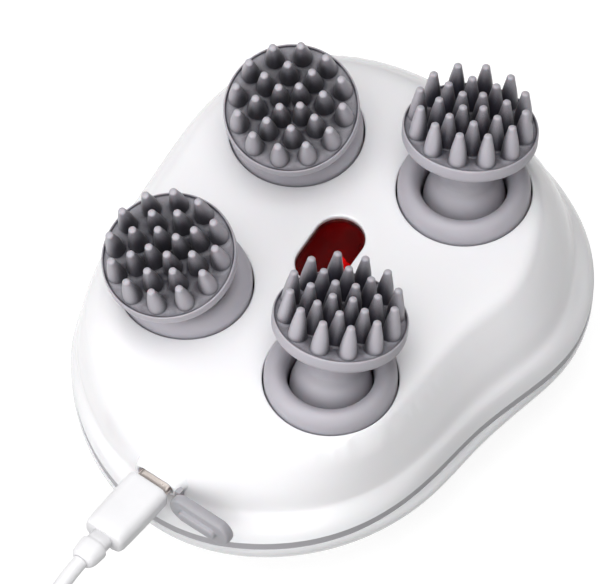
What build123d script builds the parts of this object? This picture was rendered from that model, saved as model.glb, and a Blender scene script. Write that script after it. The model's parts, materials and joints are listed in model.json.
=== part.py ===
from build123d import *
import math
import os

# Four-head electric scalp massager, lying on its back with its heads up.
#
# Frame: +Z up from the surface it rests on, the charging port at the -Y end, millimetres.
# The casing is a palm-sized pear. One motor turns a central gear; four output gears carry slanted
# crank pins, and each pin makes its silicone head nod round in a circle without spinning.

os.makedirs("parts", exist_ok=True)

# ------------------------------------------------------------------ driving dimensions
WALL = 2.2
TRIM_BOTTOM = 22.0
TRIM_TOP = 24.4
SHOULDER_HEIGHT = 29.6
PLATEAU_HEIGHT = 48.0

# Widest line of the casing, at the trim band, anticlockwise from the right-hand side
OUTLINE = [
    (50.8, 22.2), (47.9, 36.4), (37.3, 51.4), (21.0, 61.2), (0.0, 65.2), (-20.0, 63.5), (-36.5, 54.7),
    (-47.5, 39.2), (-50.8, 18.2), (-50.0, -11.8), (-46.0, -31.8), (-35.5, -47.3), (-20.0, -58.8),
    (0.0, -63.0), (18.0, -57.3), (32.5, -44.1), (40.8, -23.8), (43.9, -5.8), (48.0, 8.2),
]
# At each outline point: step in to the shoulder, step in to the crown, and strength of the ledge
SHOULDER = [2.4, 3.6, 2.8, 2.2, 2.0, 2.0, 1.6, 1.2, 1.0, 1.0, 1.2, 1.6, 2.4, 3.4, 3.8, 3.4, 1.4, 1.2, 1.6]
CROWN = [13.0, 13.5, 12.5, 12.5, 13.5, 13.0, 11.0, 9.5, 9.0, 9.0, 9.0, 10, 13, 16, 14.0, 8.2, 8.2, 9.5, 12]
LEDGE = [1, 0.9, 0.6, 0.4, 0.3, 0.2, 0.1, 0, 0, 0, 0, 0, 0.15, 0.5, 0.8, 1, 1, 1, 1]
# At each outline point: how far the lower shell swells past the waist of the outline
SWELL = [0, 0, 0, 0, 0, 0, 0, 0, 0, 0, 0, 0, 0, 0, 0.2, 0.6, 1.8, 1.4, 0.5]
# Levels up to the shoulder: height, share of the step in to it, share of the wall taken downwards
LIP_LEVELS = [(27.0, 0.35, 0.0), (SHOULDER_HEIGHT, 1.0, 0.2)]
# Upper shell levels: height, share of the way in to the crown with a ledge, share without one,
# and how much of the wall thickness is taken downwards instead of inwards
UPPER_LEVELS = [
    (31.4, 0.15, 0.03, 0.40), (35.0, 0.28, 0.09, 0.45), (39.0, 0.46, 0.20, 0.50), (43.0, 0.67, 0.40, 0.60),
    (46.0, 0.86, 0.68, 0.80), (47.5, 1.05, 1.00, 0.95), (PLATEAU_HEIGHT, 1.45, 1.45, 1.00),
]
# Lower shell levels: height, step in, share of the swell; outside and inside
LOWER_OUTSIDE = [(TRIM_BOTTOM, 0.2, 0), (18.5, 0.9, 1), (14.5, 4.0, 1), (9.5, 9.0, 0.7), (5.0, 14.5, 0.4),
                 (1.6, 20.0, 0.1), (0.0, 24.0, 0)]
LOWER_INSIDE = [(23.0, 2.4, 0), (18.5, 3.2, 1), (14.5, 6.4, 1), (9.5, 11.2, 0.7), (6.0, 15.6, 0.4),
                (3.4, 20.0, 0.1), (2.2, 24.6, 0)]

# Gear train
MODULE = 0.8
PRESSURE_ANGLE = math.radians(20)
BACKLASH = 0.16
SUN_TEETH = 48
OUTPUT_TEETH = 36
WHEEL_TEETH = 60
IDLER_PINION_TEETH = 12
IDLER_WHEEL_TEETH = 40
MOTOR_PINION_TEETH = 10
DRIVE_CENTRE = (-0.2, 4.3)
HEAD_CIRCLE = MODULE * (SUN_TEETH + OUTPUT_TEETH) / 2
IDLER_ANGLE = 20.0
MOTOR_ANGLE = -150.0
RUNNING_FIT = 0.05

# Heads: where each sits round the drive centre, and which way it leans at rest, in degrees
HEAD_ANGLES = {"rear_left": 134.5, "rear_right": 60.6, "front_left": -135.3, "front_right": -60.2}
LEAN_ANGLES = {"rear_left": -72.0, "rear_right": 106.0, "front_left": -102.0, "front_right": 97.0}
HEAD_TILT = 15.0
PIVOT_HEIGHT = 44.0
RIM_RADIUS = 15.2
RIM_TOP = 21.4
LIP_HEIGHT = 0.4
NODULE_HEIGHT = 8.7
NODULE_BASE_RADIUS = 2.15
NODULE_TAPER = 9.6
# Rings of nodules: ring radius, count, angle of the first in degrees
NODULE_RINGS = [(12.1, 12, 0.0), (7.5, 8, 15.0), (3.2, 4, 60.0)]
PIN_RADIUS = 2.0
PIN_BELOW_PIVOT = 13.8
PIN_LENGTH = 25.0
HEAD_HOLE = 15.2
SEAL_RADIUS = 14.85
SEAL_ROUNDING = 2.4
SEAL_BORE = 9.7
SEAL_TOP = 52.3

# Gearbox levels, upwards
MOTOR_BOTTOM = 6.0
MOTOR_HEIGHT = 12.4
MOTOR_RADIUS = 12.2
IDLER_PIN_BOTTOM = 17.6
IDLER_BOTTOM = 18.8
IDLER_TOP = 35.2
IDLER_WHEEL_LEVEL = 19.2
IDLER_PINION_LEVEL = 25.4
MOTOR_PINION_LEVEL = 18.9
OUTPUT_HUB_BOTTOM = 22.6
DRIVE_HUB_BOTTOM = 25.2
DRIVE_HUB_TOP = 35.2
WHEEL_LEVEL = 25.6
SUN_LEVEL = 28.6
OUTPUT_LEVEL = 28.9
GEAR_PLATE_BOTTOM = 23.0
GEAR_PLATE_TOP = 25.0
GEAR_COVER_BOTTOM = 35.5
GEAR_COVER_TOP = 37.5
GEARBOX_POSTS = [(-4.0, 38.7), (-4.0, -30.3), (-33.0, 4.3), (26.5, -4.8)]
CASE_SCREWS = [(-4.0, 53.2), (-43.9, 4.2), (37.0, -6.8), (-20.0, -45.8), (22.0, -45.8)]

# Charging port, its cover and the cable
PORT = Vector(-7.8, -59.8, 33.4)
PORT_TURN = 7.0
PLUG_GAP = 2.2
PLUG_LENGTH = 16.7
RELIEF_LENGTH = 8.0
CORD_DIAMETER = 3.5
# Corners of the cord's run from the plug's relief down to the coil
CORD_ROUTE = [
    (-12.2, -96.0, 32.4), (-12.8, -105.0, 26.0), (-13.3, -112.2, 14.6), (-13.9, -119.8, 5.9), (-16.4, -127.6, 2.4),
]
COIL_CENTRE = (-39.3, -121.0)
COIL_INNER = 16.2
COIL_OUTER = 23.6
COIL_BOTTOM = 0.5
COIL_HEIGHT = 7.1
END_PLUG_X = -61.0
END_PLUG_HEIGHT = 4.1
END_PLUG_BACK = -100.0

LIGHT_CENTRE = (-0.9, 4.3)
BUTTON_CENTRE = (0.0, -16.8)


# ------------------------------------------------------------------ helpers
def stepped_in(points, steps):
    """Move each outline point straight towards the middle of the casing by its own step."""
    moved = []
    for (x, y), step in zip(points, steps):
        share = 1 - step / math.hypot(x, y)
        moved.append((x * share, y * share))
    return moved


def evenly(step):
    """The same step at every outline point."""
    return [step] * len(OUTLINE)


def skin(sections):
    """Smooth solid through closed outlines, each given with its height."""
    with BuildPart() as body:
        for points, height in sections:
            with BuildSketch(Plane.XY.offset(height)):
                with BuildLine():
                    Spline(*points, periodic=True)
                make_face()
        loft()
    return body.part


def upper_sections(wall):
    """Sections of the upper shell's outside, or of its inside when a wall thickness is given."""
    below = TRIM_TOP - wall / 2
    sections = [(stepped_in(OUTLINE, evenly(wall)), below)]
    for height, share, downwards in LIP_LEVELS:
        steps = [share * step + (1 - downwards) * wall for step in SHOULDER]
        sections.append((stepped_in(OUTLINE, steps), height - downwards * wall))
    for height, with_ledge, without, downwards in UPPER_LEVELS:
        steps = []
        for start, end, ledge in zip(SHOULDER, CROWN, LEDGE):
            share = without + ledge * (with_ledge - without)
            steps.append(start + share * (end - start) + (1 - downwards) * wall)
        sections.append((stepped_in(OUTLINE, steps), height - downwards * wall))
    return sections


def lower_sections(levels):
    """Sections of the lower shell from its levels, top first."""
    sections = []
    for height, step, share in levels:
        steps = [step - share * swell for swell in SWELL]
        sections.append((stepped_in(OUTLINE, steps), height))
    return sections


def around(centre, distance, angle):
    """Point at a distance and an angle in degrees from a centre."""
    turn = math.radians(angle)
    return (centre[0] + distance * math.cos(turn), centre[1] + distance * math.sin(turn))


def gear_outline(teeth, phase):
    """Spur gear outline with involute flanks, its first tooth centred at a phase in degrees."""
    pitch = MODULE * teeth / 2
    base = pitch * math.cos(PRESSURE_ANGLE)
    tip = pitch + 0.95 * MODULE
    root = pitch - 1.25 * MODULE
    thickness = math.pi * MODULE / 2 - BACKLASH / 2
    half_at_base = thickness / (2 * pitch) + math.tan(PRESSURE_ANGLE) - PRESSURE_ANGLE
    start = max(base, root + 0.1)
    flank = [(root, half_at_base - 0.05 / root)]
    for share in (0.0, 0.45, 1.0):
        radius = start + share * (tip - start)
        roll = math.acos(base / radius)
        flank.append((radius, half_at_base - math.tan(roll) + roll))
    points = []
    for tooth in range(teeth):
        middle = math.radians(phase) + tooth * math.tau / teeth
        rising = [(radius, middle - half) for radius, half in flank]
        falling = [(radius, middle + half) for radius, half in reversed(flank)]
        for radius, angle in rising + falling:
            points.append((radius * math.cos(angle), radius * math.sin(angle)))
    return points


def meshing_phase(driver_teeth, driven_teeth, direction):
    """Phase that puts a driven gear in mesh with a driver whose first tooth is at zero."""
    return direction + 180 + driver_teeth / driven_teeth * direction + 180 / driven_teeth


def rounded_outline(centres, radius):
    """Add the outline of a plate that reaches a radius past each of the given centres."""
    Polygon(*centres, align=None)
    offset(amount=radius)


def save(piece, name):
    """Label one finished piece and write it."""
    piece.part.label = name
    export_step(piece.part, f"parts/{name}.step")


IDLER_DISTANCE = MODULE * (WHEEL_TEETH + IDLER_PINION_TEETH) / 2
MOTOR_DISTANCE = MODULE * (IDLER_WHEEL_TEETH + MOTOR_PINION_TEETH) / 2
IDLER_CENTRE = around(DRIVE_CENTRE, IDLER_DISTANCE, IDLER_ANGLE)
MOTOR_CENTRE = around(IDLER_CENTRE, MOTOR_DISTANCE, MOTOR_ANGLE)
HEAD_CENTRES = {name: around(DRIVE_CENTRE, HEAD_CIRCLE, angle) for name, angle in HEAD_ANGLES.items()}
HEAD_LOOP = [HEAD_CENTRES[name] for name in ("rear_right", "rear_left", "front_left", "front_right")]

port_right = Vector(math.cos(math.radians(PORT_TURN)), -math.sin(math.radians(PORT_TURN)), 0)
port_out = Vector(-math.sin(math.radians(PORT_TURN)), -math.cos(math.radians(PORT_TURN)), 0)
port_plane = Plane(origin=PORT, x_dir=port_right, z_dir=port_out)


def port_offset(distance):
    """Plane across the port axis, at a distance outwards from the face of the port hood."""
    return Plane(origin=PORT + port_out * distance, x_dir=port_right, z_dir=port_out)


# ------------------------------------------------------------------ casing
outer_skin = skin(upper_sections(0))
inner_skin = skin(upper_sections(WALL))

with BuildPart() as hood_blank:
    with BuildSketch(port_plane):
        SlotOverall(16.5, 8.6)
    extrude(amount=-9.0)
    fillet(hood_blank.faces().sort_by(Axis.Y)[0].edges(), 0.8)

with BuildPart() as hood_inside:
    with BuildSketch(port_offset(-8.2)):
        SlotOverall(16.0, 8.0)
    extrude(amount=-6.0)

with BuildPart() as shell_posts:
    with BuildSketch(Plane.XY.offset(TRIM_BOTTOM)):
        with Locations(*CASE_SCREWS):
            Circle(3.2)
    extrude(amount=23)
    with BuildSketch(Plane.XY.offset(GEAR_COVER_TOP)):
        with Locations(*GEARBOX_POSTS):
            Circle(2.8)
    extrude(amount=9)
    add(outer_skin, mode=Mode.INTERSECT)

with BuildPart() as upper_shell:
    add(outer_skin)
    add(hood_blank.part)
    add(inner_skin, mode=Mode.SUBTRACT)
    add(shell_posts.part)
    with BuildSketch(Plane.XY.offset(PLATEAU_HEIGHT + 1)):
        with Locations(*HEAD_LOOP):
            Circle(HEAD_HOLE)
        with Locations(LIGHT_CENTRE):
            SlotOverall(19.4, 11.7, rotation=90)
    extrude(amount=-10, mode=Mode.SUBTRACT)
    with BuildSketch(port_plane):
        SlotOverall(14.4, 6.6)
    extrude(amount=-1.6, mode=Mode.SUBTRACT)
    with BuildSketch(port_plane):
        SlotOverall(9.5, 3.8)
    extrude(amount=-10, mode=Mode.SUBTRACT)
    with BuildSketch(Plane.XY.offset(TRIM_BOTTOM)):
        with Locations(*CASE_SCREWS):
            Circle(1.1)
    extrude(amount=11, mode=Mode.SUBTRACT)
    with BuildSketch(Plane.XY.offset(GEAR_COVER_TOP)):
        with Locations(*GEARBOX_POSTS):
            Circle(1.0)
    extrude(amount=6, mode=Mode.SUBTRACT)
save(upper_shell, "upper_shell")

with BuildPart() as lower_fittings:
    with BuildSketch(Plane.XY):
        with Locations(*CASE_SCREWS):
            Circle(3.2)
    extrude(amount=TRIM_BOTTOM)
    with BuildSketch(Plane.XY.offset(1.0)):
        with Locations(MOTOR_CENTRE):
            Circle(13.8)
            Circle(12.3, mode=Mode.SUBTRACT)
    extrude(amount=13)
    with BuildSketch(Plane.XY.offset(1.0)):
        with Locations((-27.5, 28.2), (27.5, 28.2)):
            Rectangle(1.6, 16)
    extrude(amount=12)
    add(skin(lower_sections(LOWER_OUTSIDE)), mode=Mode.INTERSECT)

with BuildPart() as lower_shell:
    add(skin(lower_sections(LOWER_OUTSIDE)))
    add(skin(lower_sections(LOWER_INSIDE)), mode=Mode.SUBTRACT)
    add(lower_fittings.part)
    with BuildSketch(Plane.XY):
        with Locations(*CASE_SCREWS):
            Circle(2.5)
    extrude(amount=16, mode=Mode.SUBTRACT)
    with BuildSketch(Plane.XY):
        with Locations(*CASE_SCREWS):
            Circle(1.4)
    extrude(amount=TRIM_BOTTOM, mode=Mode.SUBTRACT)
    with BuildSketch(Plane.XY):
        with Locations(BUTTON_CENTRE):
            Circle(7.2)
    extrude(amount=3, mode=Mode.SUBTRACT)
save(lower_shell, "lower_shell")

with BuildPart() as trim_band:
    with BuildSketch(Plane.XY.offset(TRIM_BOTTOM)):
        with BuildLine():
            Spline(*stepped_in(OUTLINE, evenly(0.3)), periodic=True)
        make_face()
        with BuildLine():
            Spline(*stepped_in(OUTLINE, evenly(WALL)), periodic=True)
        make_face(mode=Mode.SUBTRACT)
    extrude(amount=TRIM_TOP - TRIM_BOTTOM)
save(trim_band, "trim_band")

with BuildPart() as case_screws:
    with BuildSketch(Plane.XY.offset(14.2)):
        with Locations(*CASE_SCREWS):
            Circle(2.3)
    extrude(amount=1.8)
    with BuildSketch(Plane.XY.offset(16)):
        with Locations(*CASE_SCREWS):
            Circle(1.1)
    extrude(amount=15)
save(case_screws, "case_screws")

# ------------------------------------------------------------------ light window
with BuildPart() as light_window:
    with BuildSketch(Plane.XY.offset(PLATEAU_HEIGHT - 2.4)):
        with Locations(LIGHT_CENTRE):
            SlotOverall(19.2, 11.5, rotation=90)
    extrude(amount=2.2)
    fillet(light_window.faces().sort_by(Axis.Z)[-1].edges(), 0.8)
save(light_window, "light_window")

with BuildPart() as light_reflector:
    with BuildSketch(Plane.XY.offset(GEAR_COVER_TOP + 1.2)):
        with Locations(LIGHT_CENTRE):
            SlotOverall(17.2, 9.6, rotation=90)
    extrude(amount=6.8)
    with BuildSketch(Plane.XY.offset(GEAR_COVER_TOP + 1.2)):
        with Locations(LIGHT_CENTRE):
            SlotOverall(14.6, 7.0, rotation=90)
    extrude(amount=6.8, mode=Mode.SUBTRACT)
save(light_reflector, "light_reflector")

with BuildPart() as light_board:
    with BuildSketch(Plane.XY.offset(GEAR_COVER_TOP)):
        with Locations(LIGHT_CENTRE):
            RectangleRounded(12, 20, 1)
    extrude(amount=1.2)
save(light_board, "light_board")

with BuildPart() as light_diodes:
    with BuildSketch(Plane.XY.offset(GEAR_COVER_TOP + 1.2)):
        with Locations(LIGHT_CENTRE):
            with GridLocations(0, 6.4, 1, 2):
                Rectangle(3.5, 2.8)
    extrude(amount=0.8)
save(light_diodes, "light_diodes")

# ------------------------------------------------------------------ gearbox
with BuildPart() as gear_plate:
    with BuildSketch(Plane.XY.offset(GEAR_PLATE_BOTTOM)):
        rounded_outline(HEAD_LOOP, 13.0)
        with Locations(*HEAD_LOOP):
            Circle(3.0 + RUNNING_FIT, mode=Mode.SUBTRACT)
        with Locations(IDLER_CENTRE):
            Circle(6.6, mode=Mode.SUBTRACT)
        with Locations(MOTOR_CENTRE):
            Circle(5.2, mode=Mode.SUBTRACT)
        with Locations(DRIVE_CENTRE):
            Circle(1.5, mode=Mode.SUBTRACT)
    extrude(amount=GEAR_PLATE_TOP - GEAR_PLATE_BOTTOM)
    with BuildSketch(Plane.XY.offset(GEAR_PLATE_TOP)):
        with Locations(*GEARBOX_POSTS):
            Circle(2.5)
    extrude(amount=GEAR_COVER_BOTTOM - GEAR_PLATE_TOP)
    with BuildSketch(Plane.XY.offset(GEAR_PLATE_BOTTOM)):
        with Locations(*GEARBOX_POSTS):
            Circle(1.0)
    extrude(amount=GEAR_COVER_BOTTOM, mode=Mode.SUBTRACT)
save(gear_plate, "gear_plate")

with BuildPart() as gear_cover:
    with BuildSketch(Plane.XY.offset(GEAR_COVER_BOTTOM)):
        rounded_outline(HEAD_LOOP, 15.2)
        with Locations(*HEAD_LOOP):
            Circle(7.5 + RUNNING_FIT, mode=Mode.SUBTRACT)
        with Locations(IDLER_CENTRE):
            Circle(1.2, mode=Mode.SUBTRACT)
        with Locations(DRIVE_CENTRE):
            Circle(1.5, mode=Mode.SUBTRACT)
        with Locations(*GEARBOX_POSTS):
            Circle(1.0, mode=Mode.SUBTRACT)
    extrude(amount=GEAR_COVER_TOP - GEAR_COVER_BOTTOM)
save(gear_cover, "gear_cover")

with BuildPart() as gearbox_screws:
    with BuildSketch(Plane.XY.offset(GEAR_PLATE_BOTTOM - 1.4)):
        with Locations(*GEARBOX_POSTS):
            Circle(2.0)
    extrude(amount=1.4)
    with BuildSketch(Plane.XY.offset(GEAR_PLATE_BOTTOM)):
        with Locations(*GEARBOX_POSTS):
            Circle(1.0)
    extrude(amount=20)
save(gearbox_screws, "gearbox_screws")

with BuildPart() as centre_pin:
    with BuildSketch(Plane.XY.offset(GEAR_PLATE_BOTTOM)):
        with Locations(DRIVE_CENTRE):
            Circle(1.5)
    extrude(amount=GEAR_COVER_TOP - GEAR_PLATE_BOTTOM)
save(centre_pin, "centre_pin")

with BuildPart() as centre_gear:
    with BuildSketch(Plane.XY.offset(WHEEL_LEVEL)):
        with Locations(DRIVE_CENTRE):
            Polygon(*gear_outline(WHEEL_TEETH, 0), align=None)
    extrude(amount=2.2)
    with BuildSketch(Plane.XY.offset(DRIVE_HUB_BOTTOM)):
        with Locations(DRIVE_CENTRE):
            Circle(4.0)
    extrude(amount=DRIVE_HUB_TOP - DRIVE_HUB_BOTTOM)
    with BuildSketch(Plane.XY.offset(SUN_LEVEL)):
        with Locations(DRIVE_CENTRE):
            Polygon(*gear_outline(SUN_TEETH, 0), align=None)
    extrude(amount=4.0)
    with BuildSketch(Plane.XY.offset(DRIVE_HUB_BOTTOM)):
        with Locations(DRIVE_CENTRE):
            Circle(1.5 + RUNNING_FIT)
    extrude(amount=DRIVE_HUB_TOP - DRIVE_HUB_BOTTOM, mode=Mode.SUBTRACT)
save(centre_gear, "centre_gear")

with BuildPart() as idler_pin:
    with BuildSketch(Plane.XY.offset(IDLER_PIN_BOTTOM)):
        with Locations(IDLER_CENTRE):
            Circle(2.2)
    extrude(amount=0.9)
    with BuildSketch(Plane.XY.offset(IDLER_PIN_BOTTOM + 0.9)):
        with Locations(IDLER_CENTRE):
            Circle(1.2)
    extrude(amount=GEAR_COVER_TOP - IDLER_PIN_BOTTOM - 0.9)
save(idler_pin, "idler_pin")

idler_pinion_phase = meshing_phase(WHEEL_TEETH, IDLER_PINION_TEETH, IDLER_ANGLE)
with BuildPart() as idler_gear:
    with BuildSketch(Plane.XY.offset(IDLER_WHEEL_LEVEL)):
        with Locations(IDLER_CENTRE):
            Polygon(*gear_outline(IDLER_WHEEL_TEETH, 0), align=None)
    extrude(amount=2.2)
    with BuildSketch(Plane.XY.offset(IDLER_BOTTOM)):
        with Locations(IDLER_CENTRE):
            Circle(3.4)
    extrude(amount=IDLER_TOP - IDLER_BOTTOM)
    with BuildSketch(Plane.XY.offset(IDLER_PINION_LEVEL)):
        with Locations(IDLER_CENTRE):
            Polygon(*gear_outline(IDLER_PINION_TEETH, idler_pinion_phase), align=None)
    extrude(amount=2.8)
    with BuildSketch(Plane.XY.offset(IDLER_BOTTOM)):
        with Locations(IDLER_CENTRE):
            Circle(1.2 + RUNNING_FIT)
    extrude(amount=IDLER_TOP - IDLER_BOTTOM, mode=Mode.SUBTRACT)
save(idler_gear, "idler_gear")

with BuildPart() as motor_can:
    with BuildSketch(Plane.XY.offset(MOTOR_BOTTOM)):
        with Locations(MOTOR_CENTRE):
            Circle(MOTOR_RADIUS)
    extrude(amount=MOTOR_HEIGHT)
    fillet(motor_can.edges().filter_by(GeomType.CIRCLE), 0.8)
    with BuildSketch(Plane.XY.offset(MOTOR_BOTTOM)):
        with Locations(MOTOR_CENTRE):
            Circle(1.0 + RUNNING_FIT)
    extrude(amount=MOTOR_HEIGHT, mode=Mode.SUBTRACT)
save(motor_can, "motor_can")

with BuildPart() as motor_shaft:
    with BuildSketch(Plane.XY.offset(7.0)):
        with Locations(MOTOR_CENTRE):
            Circle(1.0)
    extrude(amount=15.2)
save(motor_shaft, "motor_shaft")

motor_pinion_phase = meshing_phase(IDLER_WHEEL_TEETH, MOTOR_PINION_TEETH, MOTOR_ANGLE)
with BuildPart() as motor_pinion:
    with BuildSketch(Plane.XY.offset(MOTOR_PINION_LEVEL)):
        with Locations(MOTOR_CENTRE):
            Polygon(*gear_outline(MOTOR_PINION_TEETH, motor_pinion_phase), align=None)
            Circle(1.0, mode=Mode.SUBTRACT)
    extrude(amount=3.0)
save(motor_pinion, "motor_pinion")

# ------------------------------------------------------------------ one head, upright on its pivot
with BuildPart() as core_blank:
    with BuildSketch(Plane.XZ):
        with BuildLine():
            Polyline((PIN_RADIUS + RUNNING_FIT, -3.0), (6.7, -3.0), (6.7, 2.0), (4.6, 6.0), (4.6, 18.4),
                     (12.0, 18.6), (12.0, 19.8), (0, 19.8), (0, 12.0),
                     (PIN_RADIUS + RUNNING_FIT, 12.0), close=True)
        make_face()
    revolve(axis=Axis.Z)

with BuildPart() as pad_blank:
    with BuildSketch(Plane.XZ):
        with BuildLine():
            Line((0, -3.5), (8.5, -3.5))
            ThreePointArc((8.5, -3.5), (9.25, 0.5), (8.6, 4.5))
            ThreePointArc((8.6, 4.5), (7.8, 6.3), (6.4, 7.4))
            Line((6.4, 7.4), (6.1, 13.2))
            ThreePointArc((6.1, 13.2), (7.1, 16.0), (10.2, 17.4))
            Line((10.2, 17.4), (RIM_RADIUS - 0.4, 18.1))
            Line((RIM_RADIUS - 0.4, 18.1), (RIM_RADIUS, 18.6))
            Line((RIM_RADIUS, 18.6), (RIM_RADIUS, RIM_TOP))
            Line((RIM_RADIUS, RIM_TOP), (RIM_RADIUS - 0.5, RIM_TOP))
            Line((RIM_RADIUS - 0.5, RIM_TOP), (RIM_RADIUS - 0.9, RIM_TOP - LIP_HEIGHT))
            Line((RIM_RADIUS - 0.9, RIM_TOP - LIP_HEIGHT), (0, RIM_TOP - LIP_HEIGHT))
            Line((0, RIM_TOP - LIP_HEIGHT), (0, -3.5))
        make_face()
    revolve(axis=Axis.Z)
    for ring_radius, count, start in NODULE_RINGS:
        with BuildSketch(Plane.XY.offset(RIM_TOP - LIP_HEIGHT - 0.2)):
            with PolarLocations(ring_radius, count, start):
                Circle(NODULE_BASE_RADIUS)
        extrude(amount=NODULE_HEIGHT, taper=NODULE_TAPER)
    add(core_blank.part, mode=Mode.SUBTRACT)
    with BuildSketch(Plane.XY.offset(-4)):
        Circle(PIN_RADIUS + RUNNING_FIT)
    extrude(amount=16, mode=Mode.SUBTRACT)

for name, centre in HEAD_CENTRES.items():
    lean = math.radians(LEAN_ANGLES[name])
    tilt = math.radians(HEAD_TILT)
    pivot = Vector(centre[0], centre[1], PIVOT_HEIGHT)
    axis = Vector(math.sin(tilt) * math.cos(lean), math.sin(tilt) * math.sin(lean), math.cos(tilt))
    head_plane = Plane(origin=pivot, x_dir=Vector(-math.sin(lean), math.cos(lean), 0), z_dir=axis)
    pin_start = Plane(origin=pivot - axis * PIN_BELOW_PIVOT, x_dir=head_plane.x_dir, z_dir=axis)

    with BuildPart() as seal_ring:
        with BuildSketch(Plane.XY.offset(GEAR_COVER_TOP)):
            with Locations(centre):
                Circle(SEAL_RADIUS)
                Circle(SEAL_BORE, mode=Mode.SUBTRACT)
        extrude(amount=SEAL_TOP - GEAR_COVER_TOP)
        fillet(seal_ring.faces().sort_by(Axis.Z)[-1].edges(), SEAL_ROUNDING)
    save(seal_ring, f"seal_ring_{name}")

    with BuildPart() as crank_pin:
        with BuildSketch(pin_start):
            Circle(PIN_RADIUS)
        extrude(amount=PIN_LENGTH)
    save(crank_pin, f"crank_pin_{name}")

    output_phase = meshing_phase(SUN_TEETH, OUTPUT_TEETH, HEAD_ANGLES[name])
    with BuildPart() as output_gear:
        with BuildSketch(Plane.XY.offset(OUTPUT_LEVEL)):
            with Locations(centre):
                Polygon(*gear_outline(OUTPUT_TEETH, output_phase), align=None)
        extrude(amount=3.4)
        with BuildSketch(Plane.XY.offset(OUTPUT_HUB_BOTTOM)):
            with Locations(centre):
                Circle(3.0)
        extrude(amount=6.3)
        with BuildSketch(Plane.XY.offset(25.3)):
            with Locations(centre):
                Circle(4.2)
        extrude(amount=3.6)
        with BuildSketch(Plane.XY.offset(OUTPUT_LEVEL)):
            with Locations(centre):
                Circle(7.5)
        extrude(amount=9.1)
        add(crank_pin.part, mode=Mode.SUBTRACT)
    save(output_gear, f"output_gear_{name}")

    with BuildPart() as head_core:
        with Locations(head_plane):
            add(core_blank.part)
    save(head_core, f"head_core_{name}")

    with BuildPart() as head_pad:
        with Locations(head_plane):
            add(pad_blank.part)
    save(head_pad, f"head_pad_{name}")

# ------------------------------------------------------------------ power and controls
with BuildPart() as battery_cell:
    with BuildSketch(Plane.YZ.offset(-25.0)):
        with Locations((28.2, 10.6)):
            Circle(7.05)
    extrude(amount=50.0)
    fillet(battery_cell.edges(), 0.6)
save(battery_cell, "battery_cell")

board_plane = Plane(origin=PORT + port_out * -1.0 + Vector(0, 0, -2.85), x_dir=port_right, z_dir=(0, 0, 1))
with BuildPart() as circuit_board:
    with BuildSketch(board_plane):
        with Locations((0, 10.9)):
            Rectangle(17.0, 15.0)
    extrude(amount=1.2)
save(circuit_board, "circuit_board")

with BuildPart() as usb_socket:
    with BuildSketch(port_offset(-1.7)):
        SlotOverall(8.94, 3.26)
        SlotOverall(8.42, 2.66, mode=Mode.SUBTRACT)
    extrude(amount=-7.0)
    with BuildSketch(port_offset(-8.0)):
        SlotOverall(8.94, 3.26)
    extrude(amount=-0.7)
save(usb_socket, "usb_socket")

with BuildPart() as usb_tongue:
    with BuildSketch(port_offset(-8.0)):
        Rectangle(6.6, 0.7)
    extrude(amount=5.0)
save(usb_tongue, "usb_tongue")

with BuildPart() as power_button:
    with BuildSketch(Plane.XY.offset(0.6)):
        with Locations(BUTTON_CENTRE):
            Circle(6.9)
    extrude(amount=2.2)
    with BuildSketch(Plane.XY.offset(2.8)):
        with Locations(BUTTON_CENTRE):
            Circle(1.6)
    extrude(amount=1.4)
    with BuildSketch(Plane.XY.offset(2.5)):
        with Locations(BUTTON_CENTRE):
            Circle(8.2)
    extrude(amount=0.7)
    fillet(power_button.edges().filter_by(GeomType.CIRCLE).sort_by(Axis.Z)[0], 0.6)
save(power_button, "power_button")

with BuildPart() as button_switch:
    with BuildSketch(Plane.XY.offset(5.1)):
        with Locations(BUTTON_CENTRE):
            Rectangle(5.0, 5.0)
    extrude(amount=1.5)
save(button_switch, "button_switch")

with BuildPart() as button_board:
    with BuildSketch(Plane.XY.offset(6.6)):
        with Locations(BUTTON_CENTRE):
            Rectangle(12.0, 10.0)
    extrude(amount=1.0)
save(button_board, "button_board")

# Silicone port cover, swung open to the right of the port about the end of its strap
with BuildPart() as cover_anchor:
    with BuildSketch(port_offset(-1.5)):
        with Locations((6.25, 0)):
            Rectangle(1.3, 2.6)
    extrude(amount=1.8)
save(cover_anchor, "cover_anchor")

cover_face = port_offset(0.6)
with BuildPart() as port_cover:
    with BuildSketch(cover_face):
        with Locations((15.6, 0)):
            SlotOverall(14.0, 6.8)
        with Locations((9.5, 0)):
            Rectangle(4.0, 2.6)
    extrude(amount=2.6)
    with BuildSketch(port_offset(3.2)):
        with Locations((15.6, 0)):
            SlotOverall(8.6, 2.7)
    extrude(amount=1.1)
save(port_cover, "port_cover")

# ------------------------------------------------------------------ charging cable
with BuildPart() as plug_shell:
    with BuildSketch(port_offset(PLUG_GAP)):
        SlotOverall(8.3, 2.5)
        SlotOverall(7.5, 1.7, mode=Mode.SUBTRACT)
    extrude(amount=-8.0)
save(plug_shell, "plug_shell")

with BuildPart() as plug_body:
    with BuildSketch(port_offset(PLUG_GAP)):
        RectangleRounded(10.6, 6.2, 2.2)
    extrude(amount=PLUG_LENGTH)
save(plug_body, "plug_body")

with BuildPart() as plug_relief:
    with BuildSketch(port_offset(PLUG_GAP + PLUG_LENGTH)):
        RectangleRounded(7.2, 5.2, 2.0)
    extrude(amount=3.6)
    with BuildSketch(port_offset(PLUG_GAP + PLUG_LENGTH + 3.6)):
        Circle(2.4)
    extrude(amount=RELIEF_LENGTH - 3.6)
save(plug_relief, "plug_relief")

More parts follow.
